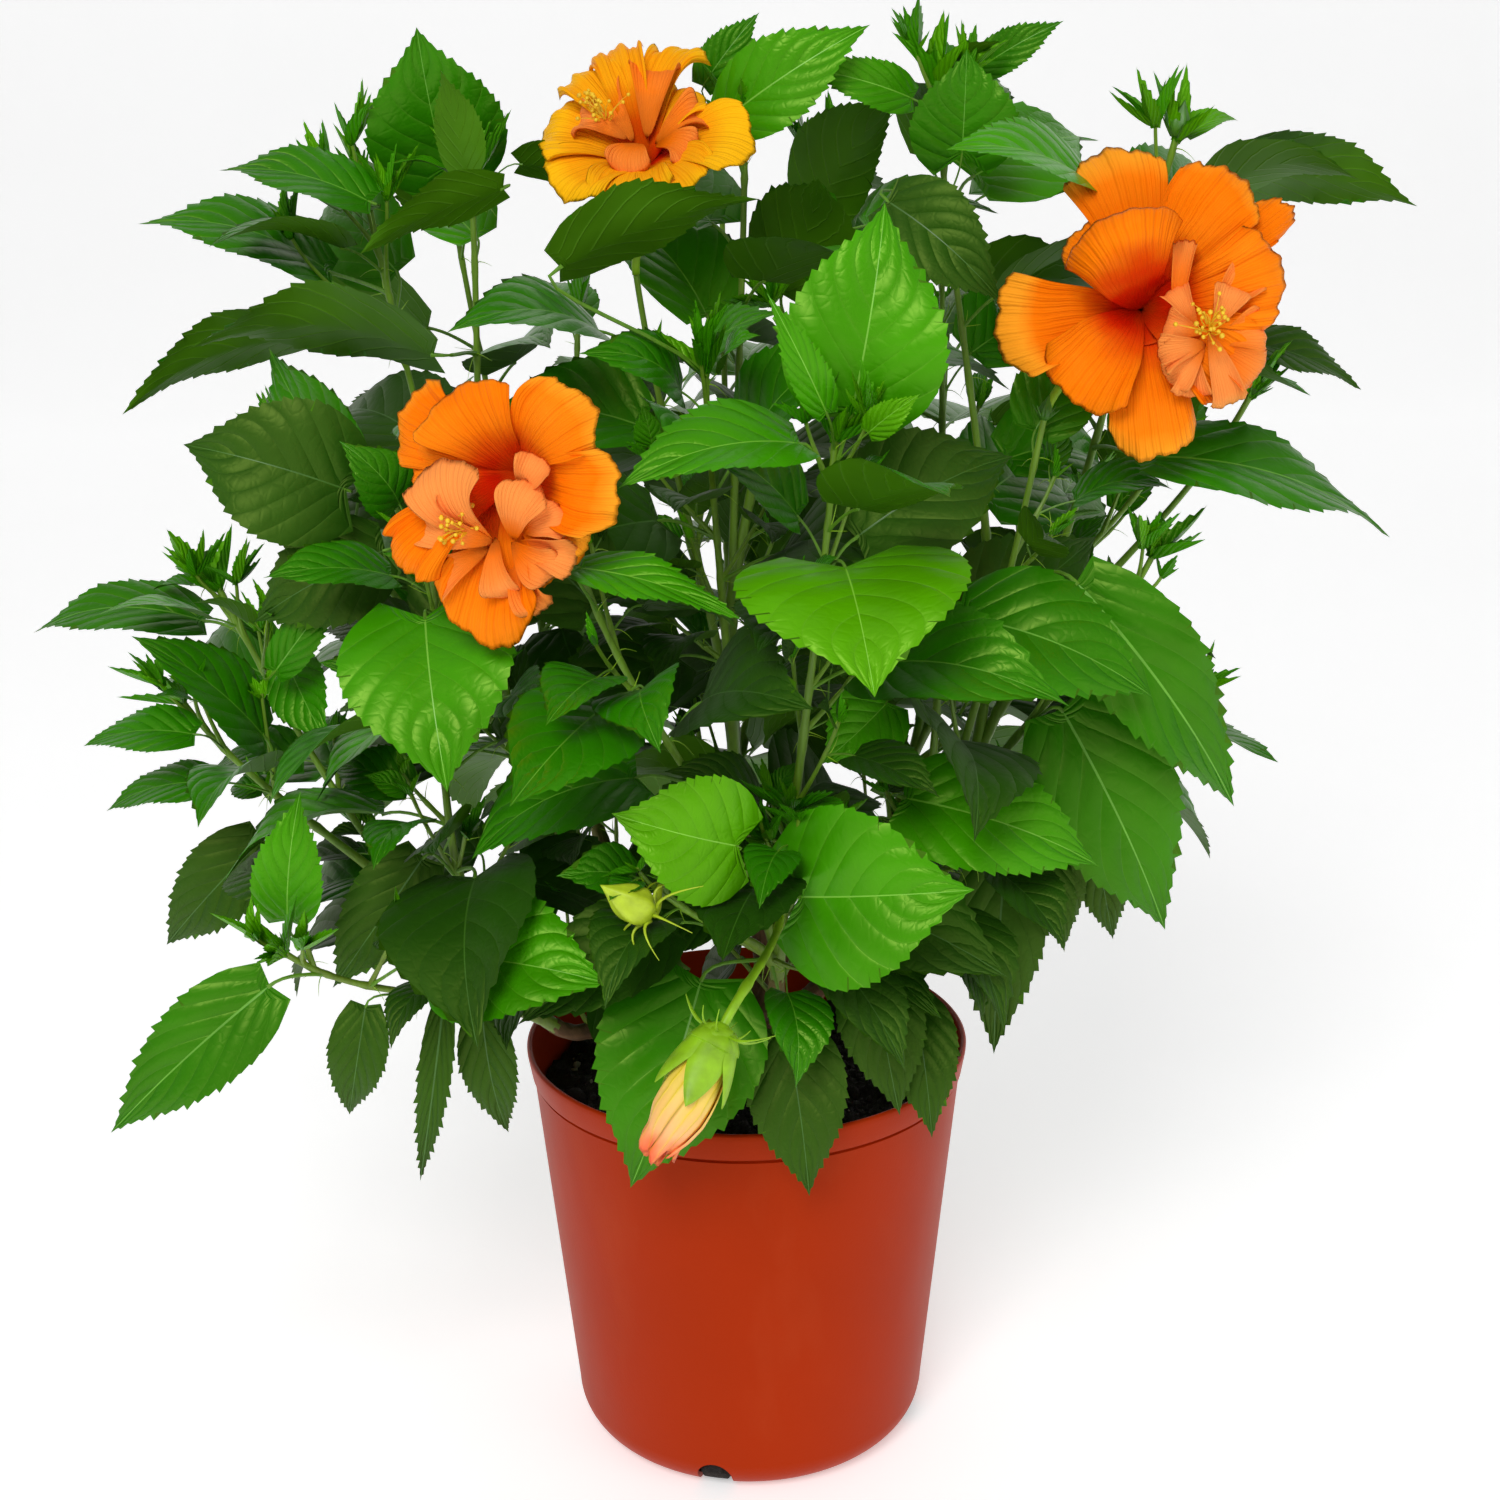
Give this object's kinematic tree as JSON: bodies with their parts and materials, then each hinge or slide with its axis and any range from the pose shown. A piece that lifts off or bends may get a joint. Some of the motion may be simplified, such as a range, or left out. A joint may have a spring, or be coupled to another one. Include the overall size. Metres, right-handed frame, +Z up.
{
  "type": "potted hibiscus shrub",
  "caption": "Rounded hibiscus shrub with glossy toothed leaves and double orange blooms, rooted in a plain round nursery pot that stands on a flat base.",
  "frame": {"origin": "centre of the pot's flat underside", "axes": "+Z up along the pot's axis; -Y towards the side the shrub shows best; +X to that side's right"},
  "size_m": [0.613, 0.5074, 0.681],
  "materials": {
    "pot": "satin moulded plastic, terracotta red",
    "soil": "moist dark potting mix",
    "bark": "dull brown bark",
    "leaf": "glossy green leaf",
    "petal": "soft orange petal"
  },
  "bodies": {
    "root": {"pot": "pot", "soil": "soil", "trunk": "bark", "bough_front": "bark", "bough_left_front": "bark", "bough_left": "bark", "bough_top": "bark", "bough_right_front": "bark", "bough_right": "bark", "bough_back_left": "bark", "bough_back": "bark", "bough_back_right": "bark", "foliage_front": "leaf", "foliage_left_front": "leaf", "foliage_left": "leaf", "foliage_top": "leaf", "foliage_right_front": "leaf", "foliage_right": "leaf", "foliage_back_left": "leaf", "foliage_back": "leaf", "foliage_back_right": "leaf", "bloom_left": "petal", "bloom_right": "petal", "bloom_top": "petal", "opening_bud": "petal"}
  },
  "joints": []
}
